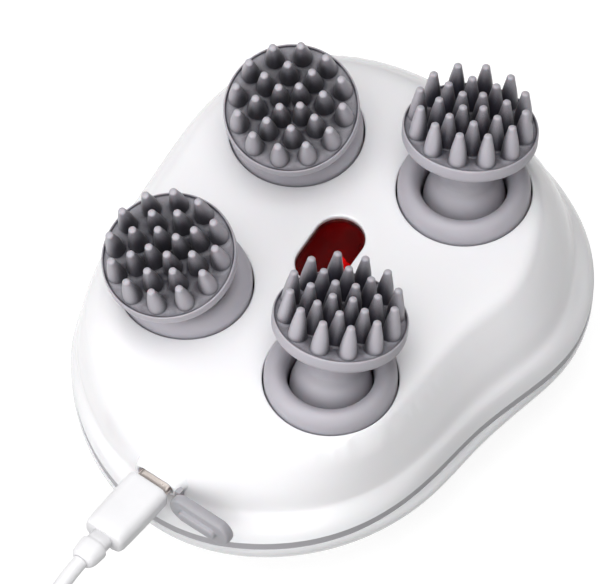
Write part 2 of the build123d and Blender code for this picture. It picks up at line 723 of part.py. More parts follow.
cord_start = PORT + port_out * (PLUG_GAP + PLUG_LENGTH + RELIEF_LENGTH)
route = [cord_start] + [Vector(*point) for point in CORD_ROUTE]
radii = []
for before, corner, after in zip(route, route[1:], route[2:]):
    arriving = corner - before
    leaving = after - corner
    half_turn = math.radians(arriving.get_angle(leaving)) / 2
    radii.append(0.45 * min(arriving.length, leaving.length) / math.tan(half_turn))
print("cord radii", [round(radius, 1) for radius in radii])

with BuildPart() as cable_cord:
    with BuildLine() as cord_path:
        FilletPolyline(*route, radius=radii)
    with BuildSketch(Plane(origin=cord_path.line @ 0, z_dir=cord_path.line % 0)):
        Circle(CORD_DIAMETER / 2)
    sweep()
cord_section = math.pi * CORD_DIAMETER ** 2 / 4
cord_length = sum(edge.length for edge in cord_path.edges())
print("cord tube length", round(cord_length, 1))
print("cord volume ratio", round(cable_cord.part.volume / (cord_section * cord_length), 4))
save(cable_cord, "cable_cord")

with BuildPart() as cable_coil:
    with BuildSketch(Plane.XY.offset(COIL_BOTTOM)):
        with Locations(COIL_CENTRE):
            Circle(COIL_OUTER)
            Circle(COIL_INNER, mode=Mode.SUBTRACT)
    extrude(amount=COIL_HEIGHT)
    fillet(cable_coil.edges().filter_by(GeomType.CIRCLE), 1.6)
save(cable_coil, "cable_coil")

coil_middle = (COIL_INNER + COIL_OUTER) / 2
tie_plane = Plane(origin=(COIL_CENTRE[0] - 2.5, COIL_CENTRE[1] + coil_middle, COIL_BOTTOM + COIL_HEIGHT / 2),
                  x_dir=(0, 1, 0), z_dir=(1, 0, 0))
with BuildPart() as coil_tie:
    with BuildSketch(tie_plane):
        RectangleRounded(COIL_OUTER - COIL_INNER + 1.3, COIL_HEIGHT + 1.0, 2.0)
        RectangleRounded(COIL_OUTER - COIL_INNER + 0.3, COIL_HEIGHT, 1.6, mode=Mode.SUBTRACT)
    extrude(amount=5.0)
save(coil_tie, "coil_tie")


def end_plug_plane(forward, lift=0.0):
    """Plane across the far plug, at a distance forward of the back of its body."""
    origin = (END_PLUG_X, END_PLUG_BACK + forward, END_PLUG_HEIGHT + lift)
    return Plane(origin=origin, x_dir=(1, 0, 0), z_dir=(0, 1, 0))


with BuildPart() as end_plug_relief:
    with BuildSketch(end_plug_plane(-11.6)):
        Circle(2.0)
    with BuildSketch(end_plug_plane(0)):
        Circle(2.9)
    loft()
save(end_plug_relief, "end_plug_relief")

with BuildPart() as end_plug_body:
    with BuildSketch(end_plug_plane(0)):
        RectangleRounded(15.4, 8.2, 2.0)
    extrude(amount=21.0)
save(end_plug_body, "end_plug_body")

with BuildPart() as end_plug_shell:
    with BuildSketch(end_plug_plane(21.0)):
        Rectangle(12.0, 4.5)
        Rectangle(11.4, 3.9, mode=Mode.SUBTRACT)
    extrude(amount=12.0)
save(end_plug_shell, "end_plug_shell")

with BuildPart() as end_plug_tongue:
    with BuildSketch(end_plug_plane(21.0, 0.9)):
        Rectangle(11.0, 1.8)
    extrude(amount=10.4)
save(end_plug_tongue, "end_plug_tongue")
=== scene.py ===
"""Looks of the four-head scalp massager: skins, silicone, light window, cable, floor, lights and camera.

Everything is in metres in the row frame. The casing skins repeat the design's outline and levels, so
they lie on the CAD shells; the rest is placed from the frame's joints and boxes.
"""
import json
import math

import bmesh
import bpy
import numpy as np
from mathutils import Matrix, Vector
from mathutils.geometry import delaunay_2d_cdt


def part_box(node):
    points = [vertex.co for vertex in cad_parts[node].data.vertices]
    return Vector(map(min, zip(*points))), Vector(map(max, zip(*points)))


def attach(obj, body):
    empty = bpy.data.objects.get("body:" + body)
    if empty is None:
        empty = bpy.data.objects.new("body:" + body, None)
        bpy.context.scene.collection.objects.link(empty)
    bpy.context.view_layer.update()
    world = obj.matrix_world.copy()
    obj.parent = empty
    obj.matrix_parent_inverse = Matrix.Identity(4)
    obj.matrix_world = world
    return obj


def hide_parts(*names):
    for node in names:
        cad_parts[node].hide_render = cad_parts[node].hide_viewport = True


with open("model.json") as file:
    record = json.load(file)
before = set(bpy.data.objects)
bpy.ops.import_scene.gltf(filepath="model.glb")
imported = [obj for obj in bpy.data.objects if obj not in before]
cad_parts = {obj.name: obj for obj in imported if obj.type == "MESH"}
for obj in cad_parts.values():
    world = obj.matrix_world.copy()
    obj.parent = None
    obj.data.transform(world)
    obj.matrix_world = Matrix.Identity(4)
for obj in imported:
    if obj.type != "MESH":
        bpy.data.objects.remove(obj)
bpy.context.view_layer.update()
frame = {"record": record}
MM = 0.001
JOINTS = {joint["name"]: joint for joint in frame["record"]["behaviour"]["joints"]}
HEADS = ("rear_left", "rear_right", "front_left", "front_right")

# ------------------------------------------------------------------ casing design, in millimetres
OUTLINE = [
    (50.8, 22.2), (47.9, 36.4), (37.3, 51.4), (21.0, 61.2), (0.0, 65.2), (-20.0, 63.5), (-36.5, 54.7),
    (-47.5, 39.2), (-50.8, 18.2), (-50.0, -11.8), (-46.0, -31.8), (-35.5, -47.3), (-20.0, -58.8),
    (0.0, -63.0), (18.0, -57.3), (32.5, -44.1), (40.8, -23.8), (43.9, -5.8), (48.0, 8.2),
]
SHOULDER = [2.4, 3.6, 2.8, 2.2, 2.0, 2.0, 1.6, 1.2, 1.0, 1.0, 1.2, 1.6, 2.4, 3.4, 3.8, 3.4, 1.4, 1.2, 1.6]
CROWN = [13.0, 13.5, 12.5, 12.5, 13.5, 13.0, 11.0, 9.5, 9.0, 9.0, 9.0, 10, 13, 16, 14.0, 8.2, 8.2, 9.5, 12]
LEDGE = [1, 0.9, 0.6, 0.4, 0.3, 0.2, 0.1, 0, 0, 0, 0, 0, 0.15, 0.5, 0.8, 1, 1, 1, 1]
TRIM_TOP = 24.4
# Upper shell levels: height, share of the shoulder step, share of the way to the crown with and without ledge
UPPER_LEVELS = [
    (TRIM_TOP, 0.0, 0.0, 0.0), (27.0, 0.35, 0.0, 0.0), (29.6, 1.0, 0.0, 0.0), (31.4, 1.0, 0.15, 0.03),
    (35.0, 1.0, 0.28, 0.09), (39.0, 1.0, 0.46, 0.20), (43.0, 1.0, 0.67, 0.40), (46.0, 1.0, 0.86, 0.68),
    (47.5, 1.0, 1.05, 1.00), (48.0, 1.0, 1.45, 1.45), (48.15, 1.0, 2.1, 2.1),
]
PLATEAU_TOP = 48.2
HEAD_HOLE = 15.2
HOLE_DEPTH = 4.5
# How far a hole's edge grows, and how far it drops, along its rounded lip
HOLE_LIP = [(0.55, 0.0), (0.30, 0.05), (0.12, 0.16), (0.02, 0.36), (0.0, 0.7)]
LIGHT_HOLE = (19.4, 11.7)
LIGHT_DEPTH = 3.2
WALL_STEPS = 34
FOOT_SHARE = 0.957
EDGE_SHARE = 0.9965
EDGE_RISE = 0.25
SKIN_SPACING = 1.6


def joint_point(name):
    """Place of a joint at rest, as a vector in metres."""
    return Vector(JOINTS[name]["pos_m"])


HEAD_PIVOT = {name: joint_point(f"head_{name}_nod") for name in HEADS}
HEAD_AXIS = {name: Vector(JOINTS[f"head_{name}_nod"]["axis"]).normalized() for name in HEADS}


# ------------------------------------------------------------------ materials
def new_material(name, colour, roughness, **settings):
    """Principled material with its fixed numbers set on the shader's own sockets."""
    material = bpy.data.materials.new(name)
    material.use_nodes = True
    shader = material.node_tree.nodes["Principled BSDF"]
    shader.inputs["Base Color"].default_value = (*colour, 1)
    shader.inputs["Roughness"].default_value = roughness
    for key, value in settings.items():
        shader.inputs[key.replace("_", " ")].default_value = value
    return material


def add_grain(material, scale, strength, distance):
    """Fine moulded grain as bump, in object space."""
    nodes, links = material.node_tree.nodes, material.node_tree.links
    place = nodes.new("ShaderNodeTexCoord")
    noise = nodes.new("ShaderNodeTexNoise")
    noise.inputs["Scale"].default_value = scale
    noise.inputs["Detail"].default_value = 3.0
    bump = nodes.new("ShaderNodeBump")
    bump.inputs["Strength"].default_value = strength
    bump.inputs["Distance"].default_value = distance
    links.new(place.outputs["Object"], noise.inputs["Vector"])
    links.new(noise.outputs["Fac"], bump.inputs["Height"])
    links.new(bump.outputs["Normal"], nodes["Principled BSDF"].inputs["Normal"])
    return noise


def add_variation(material, scale, low, high, socket="Roughness"):
    """Slow variation of one shader socket between two values or colours."""
    nodes, links = material.node_tree.nodes, material.node_tree.links
    place = nodes.new("ShaderNodeTexCoord")
    noise = nodes.new("ShaderNodeTexNoise")
    noise.inputs["Scale"].default_value = scale
    noise.inputs["Detail"].default_value = 4.0
    ramp = nodes.new("ShaderNodeValToRGB")
    first, last = ramp.color_ramp.elements
    first.position, last.position = 0.3, 0.7
    as_colour = (lambda v: (*v, 1)) if socket == "Base Color" else (lambda v: (v, v, v, 1))
    first.color, last.color = as_colour(low), as_colour(high)
    links.new(place.outputs["Object"], noise.inputs["Vector"])
    links.new(noise.outputs["Fac"], ramp.inputs["Fac"])
    links.new(ramp.outputs["Color"], nodes["Principled BSDF"].inputs[socket])


def gloss_white():
    """Injection-moulded glossy white casing plastic with faint waviness."""
    material = new_material("casing_gloss_white", (0.84, 0.83, 0.85), 0.22,
                            Subsurface_Weight=0.06, Subsurface_Scale=0.004, Coat_Weight=0.35, Coat_Roughness=0.08)
    add_variation(material, 35, 0.20, 0.26)
    add_variation(material, 9, (0.82, 0.81, 0.835), (0.85, 0.845, 0.86), "Base Color")
    return material


def silicone(name, colour, spread=0.02):
    """Matte translucent silicone with a fine skin grain, and a slow change of tone if it has a spread."""
    material = new_material(name, colour, 0.46, Subsurface_Weight=0.12, Subsurface_Scale=0.003, Sheen_Weight=0.08)
    if spread:
        add_variation(material, 60, tuple(c - spread for c in colour), tuple(c + spread for c in colour), "Base Color")
    add_grain(material, 2600, 0.10, 0.00006)
    return material


def paint_crevice_shade(material, dark, light, reach):
    """Painted shade: base colour that falls towards a dark tone where the surface is enclosed."""
    nodes, links = material.node_tree.nodes, material.node_tree.links
    shade = nodes.new("ShaderNodeAmbientOcclusion")
    shade.samples = 8
    shade.only_local = True
    shade.inputs["Distance"].default_value = reach
    ramp = nodes.new("ShaderNodeValToRGB")
    first, last = ramp.color_ramp.elements
    first.position, last.position = 0.32, 0.90
    first.color, last.color = (*dark, 1), (*light, 1)
    links.new(shade.outputs["AO"], ramp.inputs["Fac"])
    links.new(ramp.outputs["Color"], nodes["Principled BSDF"].inputs["Base Color"])


def metal(name, colour, roughness, scale=900):
    """Bare metal with fine brushing."""
    material = new_material(name, colour, roughness, Metallic=1.0)
    noise = add_grain(material, scale, 0.06, 0.00004)
    noise.inputs["Detail"].default_value = 5.0
    add_variation(material, 400, roughness - 0.05, roughness + 0.08)
    return material


def matte(name, colour, roughness=0.5, scale=1400):
    """Moulded plastic with a fine texture."""
    material = new_material(name, colour, roughness)
    darker, lighter = tuple(c * 0.95 for c in colour), tuple(min(1, c * 1.04) for c in colour)
    add_variation(material, 80, darker, lighter, "Base Color")
    add_grain(material, scale, 0.12, 0.00008)
    return material


WHITE = gloss_white()
SILICONE = silicone("silicone_grey_painted_shade", (0.36, 0.355, 0.39), spread=0)
# Painted shade: the silicone of heads and seals turns near black in the crevices between nodules and in other enclosed
# places
paint_crevice_shade(SILICONE, (0.018, 0.016, 0.026), (0.40, 0.385, 0.425), 0.010)
COVER_SILICONE = silicone("cover_silicone_grey", (0.33, 0.325, 0.35))
TRIM = matte("trim_satin_grey", (0.40, 0.39, 0.415), 0.42)
CABLE = matte("cable_soft_white", (0.755, 0.75, 0.765), 0.38)
PLUG_METAL = metal("plug_nickel", (0.50, 0.45, 0.42), 0.30, 220)
STEEL = metal("brushed_steel", (0.58, 0.58, 0.60), 0.3)
BLACK = matte("moulded_black", (0.02, 0.02, 0.022), 0.5)
LENS = new_material("lens_clear_red", (0.50, 0.001, 0.003), 0.05, Transmission_Weight=0.96, IOR=1.2)
add_variation(LENS, 120, 0.04, 0.08)
BOWL = new_material("lamp_bowl_red", (0.22, 0.0, 0.001), 0.25, Coat_Weight=0.3)
add_grain(BOWL, 700, 0.3, 0.0002)
DIODE = new_material("diode_red", (0.8, 0.03, 0.03), 0.3, Emission_Color=(1.0, 0.03, 0.02, 1), Emission_Strength=2.0)
add_variation(DIODE, 900, (0.7, 0.02, 0.02), (0.9, 0.06, 0.05), "Base Color")


# ------------------------------------------------------------------ mesh helpers
def mesh_piece(name, points, faces, material, smooth=True):
    """Object at the origin from points in metres."""
    mesh = bpy.data.meshes.new(name)
    mesh.from_pydata([tuple(p) for p in points], [], faces)
    mesh.validate()
    mesh.materials.append(material)
    mesh.polygons.foreach_set("use_smooth", [smooth] * len(mesh.polygons))
    mesh.update()
    piece = bpy.data.objects.new(name, mesh)
    bpy.context.scene.collection.objects.link(piece)
    return piece


def finish_piece(piece, body, slot, *nodes):
    """Ride a piece on its body and hide the CAD nodes it stands for. The slot argument is not used."""
    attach(piece, body)
    if nodes:
        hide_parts(*nodes)
    return piece


class Builder:
    """Collects rings of points and the faces between them."""

    def __init__(self):
        self.points = []
        self.faces = []

    def ring(self, points):
        start = len(self.points)
        self.points.extend(points)
        return list(range(start, start + len(points)))

    def bridge(self, first, second):
        count = len(first)
        for i in range(count):
            j = (i + 1) % count
            self.faces.append((first[i], first[j], second[j], second[i]))

    def cap(self, ring, flip=False):
        self.faces.append(tuple(reversed(ring)) if flip else tuple(ring))

    def tube(self, rings):
        """Bridge each ring to the next and return their indices."""
        indices = [self.ring(points) for points in rings]
        for first, second in zip(indices, indices[1:]):
            self.bridge(first, second)
        return indices

    def sheet(self, outer, inners, lift, spacing):
        """Fill between an outer loop and inner loops with lifted triangles. Loops are index lists."""
        flat = [Vector(self.points[i][:2]) for loop in [outer] + inners for i in loop]
        known = [i for loop in [outer] + inners for i in loop]
        edges, start = [], 0
        for loop in [outer] + inners:
            size = len(loop)
            edges += [(start + i, start + (i + 1) % size) for i in range(size)]
            start += size
        loops = [np.array([self.points[i][:2] for i in loop]) for loop in [outer] + inners]
        low, high = loops[0].min(0), loops[0].max(0)
        extra = []
        rows = int((high[1] - low[1]) / (spacing * 0.866)) + 1
        for row in range(rows + 1):
            for column in range(int((high[0] - low[0]) / spacing) + 2):
                x = low[0] + (column + 0.5 * (row % 2)) * spacing
                extra.append((x, low[1] + row * spacing * 0.866))
        extra = np.array(extra)
        keep = inside(extra, loops[0]) & (gap_to(extra, loops[0]) > 0.55 * spacing)
        for loop in loops[1:]:
            keep &= ~inside(extra, loop) & (gap_to(extra, loop) > 0.55 * spacing)
        extra = extra[keep]
        flat += [Vector(p) for p in extra]
        points, _, faces, origin, _, _ = delaunay_2d_cdt(flat, edges, [], 0, 1e-9)
        index = []
        for point, source in zip(points, origin):
            fixed = [s for s in source if s < len(known)]
            if fixed:
                index.append(known[fixed[0]])
            else:
                index.append(len(self.points))
                self.points.append((point.x, point.y, lift(point.x, point.y)))
        corners = np.array([(p.x, p.y) for p in points])
        middles = np.array([corners[list(face)].mean(0) for face in faces])
        good = inside(middles, loops[0])
        for loop in loops[1:]:
            good &= ~inside(middles, loop)
        for face, fine in zip(faces, good):
            if fine:
                self.faces.append(tuple(index[i] for i in face))


def inside(points, loop):
    """Which points lie inside a closed loop."""
    x, y = points[:, 0], points[:, 1]
    result = np.zeros(len(points), bool)
    for (x1, y1), (x2, y2) in zip(loop, np.roll(loop, -1, 0)):
        crosses = (y1 > y) != (y2 > y)
        with np.errstate(divide="ignore", invalid="ignore"):
            edge = (x2 - x1) * (y - y1) / (y2 - y1) + x1
        result ^= crosses & (x < edge)
    return result


def gap_to(points, loop):
    """Distance from each point to the nearest corner of a loop."""
    return np.sqrt(((points[:, None, :] - loop[None, :, :]) ** 2).sum(2)).min(1)


def circle(centre, radius, height, count=96):
    """Ring of points, anticlockwise, in millimetres."""
    turns = np.linspace(0, 2 * np.pi, count, endpoint=False)
    return [(centre[0] + radius * math.cos(t), centre[1] + radius * math.sin(t), height) for t in turns]


def slot_ring(length, width, depth, count=72):
    """Stadium outline of the given length and width, as (across, up, depth) points in millimetres."""
    radius, half = width / 2, (length - width) / 2
    points = []
    for t in np.linspace(0, 2 * np.pi, count, endpoint=False) + 1e-4:
        shift = half if math.cos(t) > 0 else -half
        points.append((shift + radius * math.cos(t), radius * math.sin(t), depth))
    return points


def rounded_ring(width, height, corner, depth, per_corner=8):
    """Rounded rectangle as (across, up, depth) points in millimetres."""
    points = []
    for k, (sx, sy) in enumerate(((1, 1), (-1, 1), (-1, -1), (1, -1))):
        for step in range(per_corner + 1):
            t = math.pi / 2 * (k + step / per_corner)
            points.append((sx * (width / 2 - corner) + corner * math.cos(t),
                           sy * (height / 2 - corner) + corner * math.sin(t), depth))
    return points


def lathe(profile, count=96):
    """Rings of a turned profile of (radius, height) pairs, in millimetres."""
    return [circle((0, 0), radius, height, count) for radius, height in profile]


def placed(points, frame_matrix):
    """Millimetre points through a placing matrix in metres."""
    return [frame_matrix @ (Vector(p) * MM) for p in points]


def place_on(origin, x_axis, z_axis):
    """Matrix that puts local axes at a place."""
    z = Vector(z_axis).normalized()
    x = Vector(x_axis)
    x = (x - z * x.dot(z)).normalized()
    y = z.cross(x)
    matrix = Matrix((x, y, z)).transposed().to_4x4()
    matrix.translation = Vector(origin)
    return matrix


# ------------------------------------------------------------------ casing surface
ANGLES = np.array([math.atan2(y, x) for x, y in OUTLINE])
ORDER = np.argsort(ANGLES)
COUNT_AROUND = 360
AROUND = np.linspace(-np.pi, np.pi, COUNT_AROUND, endpoint=False)


def periodic(values, angles):
    """Smooth periodic curve through values given at the outline points."""
    x = ANGLES[ORDER]
    y = np.array(values, float)[ORDER]
    x = np.concatenate([x - 2 * np.pi, x, x + 2 * np.pi])
    y = np.tile(y, 3)
    return natural_curve(x, y, angles)


def natural_curve(x, y, wanted):
    """Cubic spline through (x, y), zero curvature at its ends, at the wanted places."""
    h = np.diff(x)
    size = len(x)
    matrix = np.zeros((size, size))
    right = np.zeros((size,) + y.shape[1:])
    matrix[0, 0] = matrix[-1, -1] = 1
    for i in range(1, size - 1):
        matrix[i, i - 1:i + 2] = h[i - 1], 2 * (h[i - 1] + h[i]), h[i]
        right[i] = 6 * ((y[i + 1] - y[i]) / h[i] - (y[i] - y[i - 1]) / h[i - 1])
    bend = np.linalg.solve(matrix, right)
    i = np.clip(np.searchsorted(x, wanted) - 1, 0, size - 2)
    a = (x[i + 1] - wanted) / h[i]
    b = 1 - a
    return a * y[i] + b * y[i + 1] + ((a ** 3 - a) * bend[i] + (b ** 3 - b) * bend[i + 1]) * h[i] ** 2 / 6


RADII = [math.hypot(x, y) for x, y in OUTLINE]


def upper_profile(angle, steps=60):
    """(radius, height) along the upper skin at one angle, from the trim inwards."""
    rho, shoulder, crown, ledge = (float(periodic(v, np.array([angle]))[0]) for v in (RADII, SHOULDER, CROWN, LEDGE))
    along = np.arange(len(UPPER_LEVELS), dtype=float)
    values = []
    for height, lip, with_ledge, without in UPPER_LEVELS:
        share = without + ledge * (with_ledge - without)
        values.append((rho - lip * shoulder - share * (crown - shoulder), height))
    values = np.array(values)
    wanted = np.linspace(0, along[-1], steps)
    radius = natural_curve(along, values[:, 0], wanted)
    height = natural_curve(along, values[:, 1], wanted)
    return radius, height


PROFILES = [upper_profile(angle) for angle in AROUND]
PROFILE_RADIUS = np.array([p[0] for p in PROFILES])
PROFILE_HEIGHT = np.array([p[1] for p in PROFILES])


def skin_height(x, y):
    """Height of the upper skin over a place inside its shoulder, in millimetres."""
    radius = math.hypot(x, y)
    turn = (math.atan2(y, x) + np.pi) / (2 * np.pi) * COUNT_AROUND
    first = int(turn) % COUNT_AROUND
    blend = turn - int(turn)
    second = (first + 1) % COUNT_AROUND
    radii = PROFILE_RADIUS[first] * (1 - blend) + PROFILE_RADIUS[second] * blend
    heights = PROFILE_HEIGHT[first] * (1 - blend) + PROFILE_HEIGHT[second] * blend
    if radius <= radii[-1]:
        return PLATEAU_TOP - (PLATEAU_TOP - heights[-1]) * (radius / radii[-1]) ** 2
    return float(np.interp(-radius, -radii, heights))


def hole_rings(centre, outline, depth):
    """Loops of a hole in the skin: wide edge, rounded lip, and wall down to a depth."""
    loops = []
    for grow, drop in HOLE_LIP + [(0.0, depth)]:
        ring = []
        for x, y in outline(grow):
            ring.append((centre[0] + x, centre[1] + y, skin_height(centre[0] + x, centre[1] + y) - drop))
        loops.append(ring)
    return loops


def round_outline(radius, count=120):
    """Outline function of a round hole."""
    return lambda grow: [(x, y) for x, y, _ in circle((0, 0), radius + grow, 0, count)]


def slot_outline(length, width, count=96):
    """Outline function of a long hole along Y."""
    return lambda grow: [(-y, x) for x, y, _ in slot_ring(length + 2 * grow, width + 2 * grow, 0, count)]


LIGHT_LOW, LIGHT_HIGH = (Vector(corner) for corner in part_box("light_window"))
LIGHT_CENTRE = ((LIGHT_LOW.x + LIGHT_HIGH.x) / 2 / MM, (LIGHT_LOW.y + LIGHT_HIGH.y) / 2 / MM)


def make_upper_skin():
    """Upper casing skin with its wall, ledge, dome, head holes and light opening."""
    build = Builder()
    wall = [[(radii[step] * math.cos(angle), radii[step] * math.sin(angle), heights[step])
             for radii, heights, angle in zip(PROFILE_RADIUS, PROFILE_HEIGHT, AROUND)] for step in range(WALL_STEPS)]
    foot, edge = ([(x * share, y * share, z) for x, y, z in wall[0]] for share in (FOOT_SHARE, EDGE_SHARE))
    wall[0] = [(x, y, z + EDGE_RISE) for x, y, z in wall[0]]
    outer = build.tube([foot, edge] + wall)[-1]
    inner_loops = []
    for name in HEADS:
        centre = (HEAD_PIVOT[name].x / MM, HEAD_PIVOT[name].y / MM)
        inner_loops.append(build.tube(hole_rings(centre, round_outline(HEAD_HOLE), HOLE_DEPTH))[0])
    inner_loops.append(build.tube(hole_rings(LIGHT_CENTRE, slot_outline(*LIGHT_HOLE), LIGHT_DEPTH))[0])
    build.sheet(outer, inner_loops, skin_height, SKIN_SPACING)
    return mesh_piece("casing_top_skin", [Vector(p) * MM for p in build.points], build.faces, WHITE)


def face_outwards(piece):
    """Make every face of a closed or open piece point outwards."""
    work = bmesh.new()
    work.from_mesh(piece.data)
    bmesh.ops.recalc_face_normals(work, faces=work.faces)
    work.to_mesh(piece.data)
    work.free()
    piece.data.polygons.foreach_set("use_smooth", [True] * len(piece.data.polygons))
    piece.data.update()


# ------------------------------------------------------------------ camera, lights and floor
AIM = Vector((-0.0070, 0.0019, 0.030))
ELEVATION = math.radians(56)
AZIMUTH = math.radians(30.7)
DISTANCE = 6.0
towards = Vector((math.cos(ELEVATION) * math.sin(AZIMUTH), -math.cos(ELEVATION) * math.cos(AZIMUTH),
                  math.sin(ELEVATION)))
camera_data = bpy.data.cameras.new("view")
camera_data.lens = 1614.4
camera_data.sensor_width = 36
camera_data.clip_end = 200
camera = bpy.data.objects.new("view", camera_data)
camera.location = AIM + towards * DISTANCE
camera.rotation_euler = towards.to_track_quat("Z", "Y").to_euler()
bpy.context.scene.collection.objects.link(camera)
bpy.context.scene.camera = camera


LIGHT_TARGET = Vector((0, 0, 0.04))
LIGHT_SIZE = 1.0


def soft_light(name, place, power):
    """Square studio light aimed at the object."""
    data = bpy.data.lights.new(name, "AREA")
    data.shape = "SQUARE"
    data.size = LIGHT_SIZE
    data.energy = power
    lamp = bpy.data.objects.new(name, data)
    lamp.location = place
    lamp.rotation_euler = (Vector(place) - LIGHT_TARGET).to_track_quat("Z", "Y").to_euler()
    bpy.context.scene.collection.objects.link(lamp)


soft_light("key_front", (-0.42, -1.10, 0.58), 6.8)
soft_light("fill_top", (0.05, -0.22, 1.3), 11.0)
soft_light("fill_right", (0.75, -0.95, 0.60), 4.4)

# Studio surround: brighter above the front left, darker towards the rear right
world = bpy.data.worlds.new("studio")
world.use_nodes = True
sky_nodes, sky_links = world.node_tree.nodes, world.node_tree.links
sky_place = sky_nodes.new("ShaderNodeTexCoord")
sky_side = sky_nodes.new("ShaderNodeVectorMath")
sky_side.operation = "DOT_PRODUCT"
sky_side.inputs[1].default_value = (-0.45, -0.50, 0.74)
sky_range = sky_nodes.new("ShaderNodeMapRange")
for socket, value in (("From Min", -0.45), ("From Max", 0.9), ("To Min", 0.05), ("To Max", 0.62)):
    sky_range.inputs[socket].default_value = value
sky_links.new(sky_place.outputs["Generated"], sky_side.inputs[0])
sky_links.new(sky_side.outputs["Value"], sky_range.inputs["Value"])
sky_links.new(sky_range.outputs["Result"], sky_nodes["Background"].inputs["Strength"])
sky_nodes["Background"].inputs["Color"].default_value = (1.0, 1.0, 1.0, 1)
bpy.context.scene.world = world
bpy.context.scene.view_settings.view_transform = "Standard"
bpy.context.scene.view_settings.look = "None"
bpy.context.scene.view_settings.exposure = 0.0

floor_paint = matte("floor_white", (0.26, 0.26, 0.26), 0.9, 300)
floor_shader = floor_paint.node_tree.nodes["Principled BSDF"]
floor_shader.inputs["Emission Color"].default_value = (1, 1, 1, 1)
floor_shader.inputs["Emission Strength"].default_value = 0.84
FLOOR_HALF = 50
FLOOR_HEIGHT = -0.0002
floor = mesh_piece("studio_floor", [(x * FLOOR_HALF, y * FLOOR_HALF, FLOOR_HEIGHT)
                                    for x, y in ((-1, -1), (1, -1), (1, 1), (-1, 1))],
                   [(0, 1, 2, 3)], floor_paint, smooth=False)
# The floor and backdrop give no bounce light, so the walls that face away from the lights stay grey
floor.visible_diffuse = False
backdrop_build = Builder()
BACKDROP_RADIUS = 48.0
BACKDROP_HEIGHTS = (-1.0, 40.0)
backdrop_build.tube([circle((0, 0), BACKDROP_RADIUS, height) for height in BACKDROP_HEIGHTS])
backdrop = mesh_piece("studio_backdrop", backdrop_build.points, backdrop_build.faces, floor_paint)
backdrop.visible_diffuse = backdrop.visible_glossy = backdrop.visible_transmission = backdrop.visible_shadow = False

# ------------------------------------------------------------------ charging cable
# Out of the relief, down to the table, then into the coil
CORD_POINTS = [
    (-0.01108, -0.0865, 0.0334), (-0.0122, -0.0960, 0.0324), (-0.0128, -0.1050, 0.0260),
    (-0.0133, -0.1122, 0.0146), (-0.0139, -0.1198, 0.0059), (-0.0164, -0.1276, 0.0024),
]
COIL_CENTRE = (-0.0393, -0.1210)
# Degrees: where the coil starts, how far round its first and last points are, and the step between points
COIL_START = -16.6
COIL_FIRST = 14
COIL_TURNED = 1243.0
COIL_STEP = 23.0
# Degrees turned, with the winding's radius and height there, in metres
COIL_PLAN = [(0, 0.0218, 0.0023), (290, 0.0218, 0.0023), (350, 0.0182, 0.0023), (650, 0.0182, 0.0023),
             (710, 0.0182, 0.0058), (1010, 0.0182, 0.0058), (1070, 0.0218, 0.0058), (1260, 0.0218, 0.0058)]
CORD_WIDTH = 0.0035


def coil_points():
    """Control points of the wound part, about sixteen to a turn."""
    points = []
    count = round((COIL_TURNED - COIL_FIRST) / COIL_STEP)
    for k in range(count + 1):
        turned = COIL_FIRST + (COIL_TURNED - COIL_FIRST) * k / count
        for (a, r1, z1), (b, r2, z2) in zip(COIL_PLAN, COIL_PLAN[1:]):
            if a <= turned <= b:
                share = (turned - a) / (b - a)
                share = share * share * (3 - 2 * share)
                radius, height = r1 + share * (r2 - r1), z1 + share * (z2 - z1)
                break
        angle = math.radians(COIL_START - turned)
        # The spline cuts inside its control polygon, so the points stand a little further out
        radius /= 0.5 + 0.5 * math.cos(math.radians(COIL_STEP))
        points.append((COIL_CENTRE[0] + radius * math.cos(angle), COIL_CENTRE[1] + radius * math.sin(angle), height))
    return points


def nurbs_tube(name, points, width, material):
    """Open NURBS spline through its control points, as a round tube."""
    data = bpy.data.curves.new(name, "CURVE")
    data.dimensions = "3D"
    data.bevel_depth = width / 2
    data.bevel_resolution = 8
    data.use_fill_caps = True
    data.resolution_u = 10
    spline = data.splines.new("NURBS")
    spline.points.add(len(points) - 1)
    for point, place in zip(spline.points, points):
        point.co = (*place, 1)
    spline.order_u = 3
    spline.use_endpoint_u = True
    piece = bpy.data.objects.new(name, data)
    bpy.context.scene.collection.objects.link(piece)
    data.materials.append(material)
    return piece


RELIEF_LOW, RELIEF_HIGH = (Vector(corner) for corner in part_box("end_plug_relief"))
END_X = (RELIEF_LOW.x + RELIEF_HIGH.x) / 2
END_Z = (RELIEF_LOW.z + RELIEF_HIGH.z) / 2
end_points = [(END_X, RELIEF_LOW.y + 0.004, END_Z + 0.0008), (END_X, RELIEF_LOW.y + 0.010, END_Z)]
cord_points = CORD_POINTS + coil_points() + end_points
cord = nurbs_tube("charging_cord", cord_points, CORD_WIDTH, CABLE)
finish_piece(cord, "casing", "cable_white", "cable_cord", "cable_coil")

top_skin = make_upper_skin()
face_outwards(top_skin)
finish_piece(top_skin, "casing", "casing_white", "upper_shell")

# ------------------------------------------------------------------ heads and seals
RIM_RADIUS = 15.2
RIM_TOP = 21.4
FLOOR_LEVEL = 21.0
# Each ring of nodules: its radius, how many, and the turn of the first in degrees
NODULE_RINGS = [(12.1, 12, 0.0), (7.5, 8, 15.0), (3.2, 4, 60.0)]
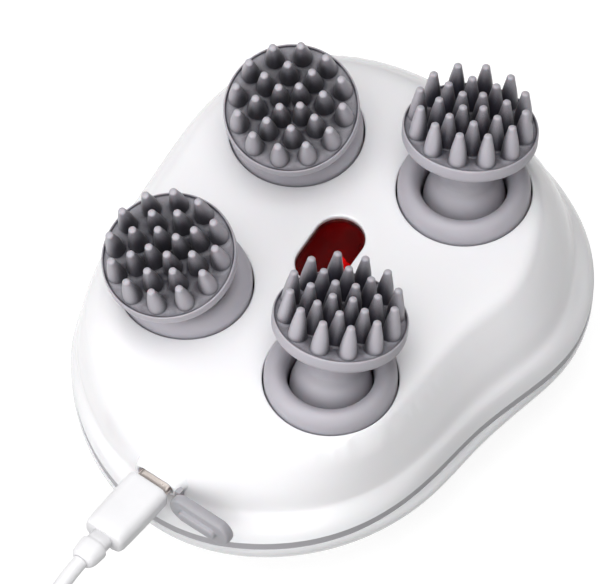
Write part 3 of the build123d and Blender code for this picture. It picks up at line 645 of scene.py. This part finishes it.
# Half profile of a head from the bulb to the edge of its floor: radius, height over the pivot
HEAD_PROFILE = [
    (3.0, -3.45), (8.3, -3.45), (8.75, -2.6), (9.2, -0.8), (9.25, 0.9), (9.1, 2.6), (8.7, 4.2), (8.1, 5.6),
    (7.4, 6.6), (6.75, 7.15), (6.45, 7.5), (6.3, 8.6), (6.15, 12.4), (6.2, 13.4), (6.45, 14.6), (7.0, 15.8),
    (7.9, 16.7), (9.2, 17.25), (11.5, 17.6), (14.4, 18.0), (14.95, 18.25), (15.18, 18.7), (RIM_RADIUS, 19.4),
    (RIM_RADIUS, 20.9), (15.17, 21.15), (15.08, 21.32), (14.95, RIM_TOP), (14.8, 21.38), (14.66, 21.25),
    (14.56, 21.08), (14.45, FLOOR_LEVEL),
]
# Half profile of a nodule: radius, height over the floor. Fat foot, slight shoulder, round tip
NODULE_PROFILE = [
    (2.18, 0.0), (2.13, 0.25), (2.09, 0.8), (2.0, 1.8), (1.86, 3.0), (1.66, 4.3), (1.42, 5.5), (1.18, 6.6),
    (1.02, 7.3), (0.96, 7.8), (0.88, 8.15), (0.68, 8.38), (0.36, 8.48), (0.1, 8.5),
]
# Whole profile of a seal: radius, height over the table
SEAL_PROFILE = [
    (14.6, 40.0), (14.85, 41.0), (14.85, 48.9), (14.78, 49.8), (14.5, 50.7), (13.95, 51.5), (13.2, 52.05),
    (12.35, 52.28), (11.5, 52.15), (10.8, 51.65), (10.3, 50.95), (9.98, 50.1), (9.8, 48.8), (9.72, 46.5), (9.72, 38.0),
]


def make_head(name):
    """Silicone kneading head: bulb, neck, disc with a thin lip, floor and nodules."""
    axis = HEAD_AXIS[name]
    lean = math.atan2(axis.y, axis.x)
    place = place_on(HEAD_PIVOT[name], (-math.sin(lean), math.cos(lean), 0), axis)
    build = Builder()
    rings = build.tube(lathe(HEAD_PROFILE))
    build.cap(rings[0], flip=True)
    feet = []
    for ring_radius, count, start in NODULE_RINGS:
        for k in range(count):
            turn = math.radians(start) + math.tau * k / count
            centre = (ring_radius * math.cos(turn), ring_radius * math.sin(turn))
            loops = build.tube([circle(centre, r, FLOOR_LEVEL + h, 28) for r, h in NODULE_PROFILE])
            build.cap(loops[-1])
            feet.append(loops[0])
    build.sheet(rings[-1], feet, lambda x, y: FLOOR_LEVEL, 1.1)
    piece = mesh_piece(f"kneading_head_{name}", placed(build.points, place), build.faces, SILICONE)
    face_outwards(piece)
    return finish_piece(piece, f"head_{name}", "silicone_grey", f"head_pad_{name}")


def make_seal(name):
    """Round silicone sleeve that the head comes out of."""
    build = Builder()
    pivot = HEAD_PIVOT[name]
    rings = build.tube([[(x + pivot.x / MM, y + pivot.y / MM, z) for x, y, z in ring]
                        for ring in lathe(SEAL_PROFILE, 120)])
    build.bridge(rings[-1], rings[0])
    piece = mesh_piece(f"seal_sleeve_{name}", [Vector(p) * MM for p in build.points], build.faces, SILICONE)
    face_outwards(piece)
    return finish_piece(piece, "casing", "silicone_grey", f"seal_ring_{name}")


for head_name in HEADS:
    make_head(head_name)
    make_seal(head_name)

# ------------------------------------------------------------------ charging port, cover and plug
PORT = Vector(frame["record"]["mounts"][1]["pos_m"])
PORT_OUT = Vector(frame["record"]["mounts"][1]["axis"]).normalized()
PORT_RIGHT = Vector((-PORT_OUT.y, PORT_OUT.x, 0))
PORT_PLACE = place_on(PORT, PORT_RIGHT, PORT_OUT)


def port_piece(name, rings, material, body, slot, nodes=(), start_cap=True, shift=0.0):
    """Piece made of loops across the port axis."""
    build = Builder()
    loops = build.tube([[(x + shift, y, z) for x, y, z in ring] for ring in rings])
    if start_cap:
        build.cap(loops[0])
    build.cap(loops[-1], flip=True)
    piece = mesh_piece(name, placed(build.points, PORT_PLACE), build.faces, material)
    face_outwards(piece)
    return finish_piece(piece, body, slot, *nodes)


def slots(steps):
    """Stadium loops from (length, width, depth) steps."""
    return [slot_ring(length, width, depth) for length, width, depth in steps]


port_piece("port_hood", slots([
    (19.0, 11.0, -9.5), (16.4, 8.6, -6.2), (14.2, 6.7, -3.6), (12.7, 5.5, -1.7), (11.9, 4.9, -0.6), (11.4, 4.5, -0.12),
    (10.9, 4.2, 0.0), (9.9, 3.7, 0.0), (9.65, 3.55, -0.12), (9.5, 3.4, -0.5), (9.5, 3.4, -8.4)]), WHITE,
    "casing", "casing_white", start_cap=False)

# How far the cover and its strap stand to the right of the port
COVER_SHIFT = 14.4
STRAP_SHIFT = 9.3
port_piece("cover_pad", slots([
    (14.8, 5.2, 0.6), (15.7, 6.1, 0.66), (16.2, 6.6, 0.95), (16.4, 6.8, 1.5), (16.4, 6.8, 2.4), (16.26, 6.66, 2.8),
    (15.9, 6.3, 3.08), (15.3, 5.7, 3.2), (10.6, 3.2, 3.2), (10.25, 2.85, 3.26), (10.12, 2.72, 3.45), (10.1, 2.7, 3.85),
    (9.9, 2.5, 4.15), (9.4, 2.0, 4.3)]), COVER_SILICONE, "cover", "cover_grey", ["port_cover"], shift=COVER_SHIFT)


def box_rings(steps):
    """Rounded rectangle loops from (width, height, corner, depth) steps."""
    return [rounded_ring(width, height, corner, depth) for width, height, corner, depth in steps]


port_piece("cover_strap", box_rings([
    (3.4, 2.0, 0.5, 0.6), (4.2, 2.6, 0.7, 0.85), (4.4, 2.6, 0.7, 1.7), (4.2, 2.4, 0.7, 2.2), (3.4, 1.8, 0.5, 2.4)]),
    COVER_SILICONE, "cover", "cover_grey", shift=STRAP_SHIFT)

PLUG_FRONT = 2.2
plug_body = port_piece("plug_grip", box_rings([
    (9.2, 4.8, 1.8, PLUG_FRONT), (10.1, 5.7, 2.1, PLUG_FRONT + 0.12), (10.5, 6.1, 2.2, PLUG_FRONT + 0.5),
    (10.6, 6.2, 2.2, PLUG_FRONT + 1.2), (10.6, 6.2, 2.2, PLUG_FRONT + 8.0), (10.45, 6.1, 2.2, PLUG_FRONT + 13.5),
    (10.25, 6.0, 2.2, PLUG_FRONT + 15.6), (9.7, 5.6, 2.1, PLUG_FRONT + 16.45), (8.6, 5.0, 1.9, PLUG_FRONT + 16.7)]),
    CABLE, "casing", "cable_white", ["plug_body"])
plug_relief = port_piece("plug_relief_steps", box_rings([
    (5.4, 4.2, 1.9, PLUG_FRONT + 16.3), (5.4, 4.2, 1.9, PLUG_FRONT + 18.9), (5.6, 4.4, 2.0, PLUG_FRONT + 19.3),
    (6.5, 5.0, 2.3, PLUG_FRONT + 19.7), (6.7, 5.1, 2.4, PLUG_FRONT + 20.2), (6.4, 5.0, 2.4, PLUG_FRONT + 22.6),
    (5.9, 4.8, 2.3, PLUG_FRONT + 23.6), (5.0, 4.4, 2.1, PLUG_FRONT + 24.3), (3.9, 3.8, 1.85, PLUG_FRONT + 24.6),
    (3.4, 3.4, 1.68, PLUG_FRONT + 24.65)]), CABLE, "casing", "cable_white", ["plug_relief"])
plug_tube = port_piece("plug_tube", slots([
    (7.3, 1.5, -5.0), (7.5, 1.7, -5.6), (7.9, 2.1, -5.8), (8.2, 2.4, -5.7), (8.3, 2.5, -5.4),
    (8.3, 2.5, PLUG_FRONT + 0.3)]),
    PLUG_METAL, "casing", "plug_metal", ["plug_shell"])

# ------------------------------------------------------------------ light window
def slot_piece(name, steps, material, slot, nodes, start_cap=True):
    """Long piece along Y at the light's place, from (length, width, height) steps."""
    build = Builder()
    rings = []
    for length, width, height in steps:
        loop = slot_ring(length, width, height, 96)
        rings.append([(LIGHT_CENTRE[0] - y, LIGHT_CENTRE[1] + x, z) for x, y, z in loop])
    loops = build.tube(rings)
    if start_cap:
        build.cap(loops[0])
    build.cap(loops[-1], flip=True)
    piece = mesh_piece(name, [Vector(p) * MM for p in build.points], build.faces, material)
    face_outwards(piece)
    return finish_piece(piece, "casing", slot, *nodes)


slot_piece("light_lens", [
    (18.8, 11.1, 45.65), (19.2, 11.5, 45.8), (19.2, 11.5, 46.9), (19.05, 11.35, 47.3), (18.5, 10.8, 47.6),
    (16.6, 8.9, 47.85), (13.0, 5.3, 48.05), (9.0, 1.3, 48.1)], LENS, "lens_red", ["light_window"])
slot_piece("light_bowl", [
    (18.6, 10.9, 45.5), (18.6, 10.9, 45.3), (17.6, 9.9, 45.2), (16.6, 8.9, 44.4), (15.2, 7.6, 42.6), (13.8, 6.3, 40.8),
    (12.4, 5.0, 39.9), (9.0, 1.6, 39.5)], BOWL, "reflector_red", ["light_reflector"], start_cap=False)

# ------------------------------------------------------------------ materials of the CAD pieces that stay
COPPER_GREEN = matte("board_green", (0.02, 0.12, 0.05), 0.45, 2200)
GEAR_PLASTIC = matte("acetal_ivory", (0.74, 0.72, 0.66), 0.38, 1800)
CORE = matte("core_grey", (0.10, 0.10, 0.11), 0.5)
CELL = matte("cell_blue_wrap", (0.02, 0.06, 0.26), 0.35, 500)
BUTTON_RUBBER = silicone("button_silicone_grey", (0.26, 0.26, 0.285))
TIE = matte("tie_soft_white", (0.72, 0.72, 0.73), 0.6, 2400)
STAYING = {
    "lower_shell": WHITE, "trim_band": TRIM, "case_screws": STEEL, "light_board": COPPER_GREEN,
    "light_diodes": DIODE, "gear_plate": BLACK, "gear_cover": BLACK, "gearbox_screws": STEEL, "centre_pin": STEEL,
    "centre_gear": GEAR_PLASTIC, "idler_pin": STEEL, "idler_gear": GEAR_PLASTIC, "motor_can": STEEL,
    "motor_shaft": STEEL, "motor_pinion": GEAR_PLASTIC, "battery_cell": CELL, "circuit_board": COPPER_GREEN,
    "usb_socket": PLUG_METAL, "usb_tongue": BLACK, "power_button": BUTTON_RUBBER, "button_switch": BLACK,
    "button_board": COPPER_GREEN, "cover_anchor": COVER_SILICONE, "coil_tie": TIE, "end_plug_relief": CABLE,
    "end_plug_body": CABLE, "end_plug_shell": PLUG_METAL, "end_plug_tongue": BLACK,
}
for head_name in HEADS:
    STAYING[f"crank_pin_{head_name}"] = STEEL
    STAYING[f"output_gear_{head_name}"] = GEAR_PLASTIC
    STAYING[f"head_core_{head_name}"] = CORE
for node_name, material in STAYING.items():
    for slot in bpy.data.objects[node_name].material_slots:
        slot.material = material
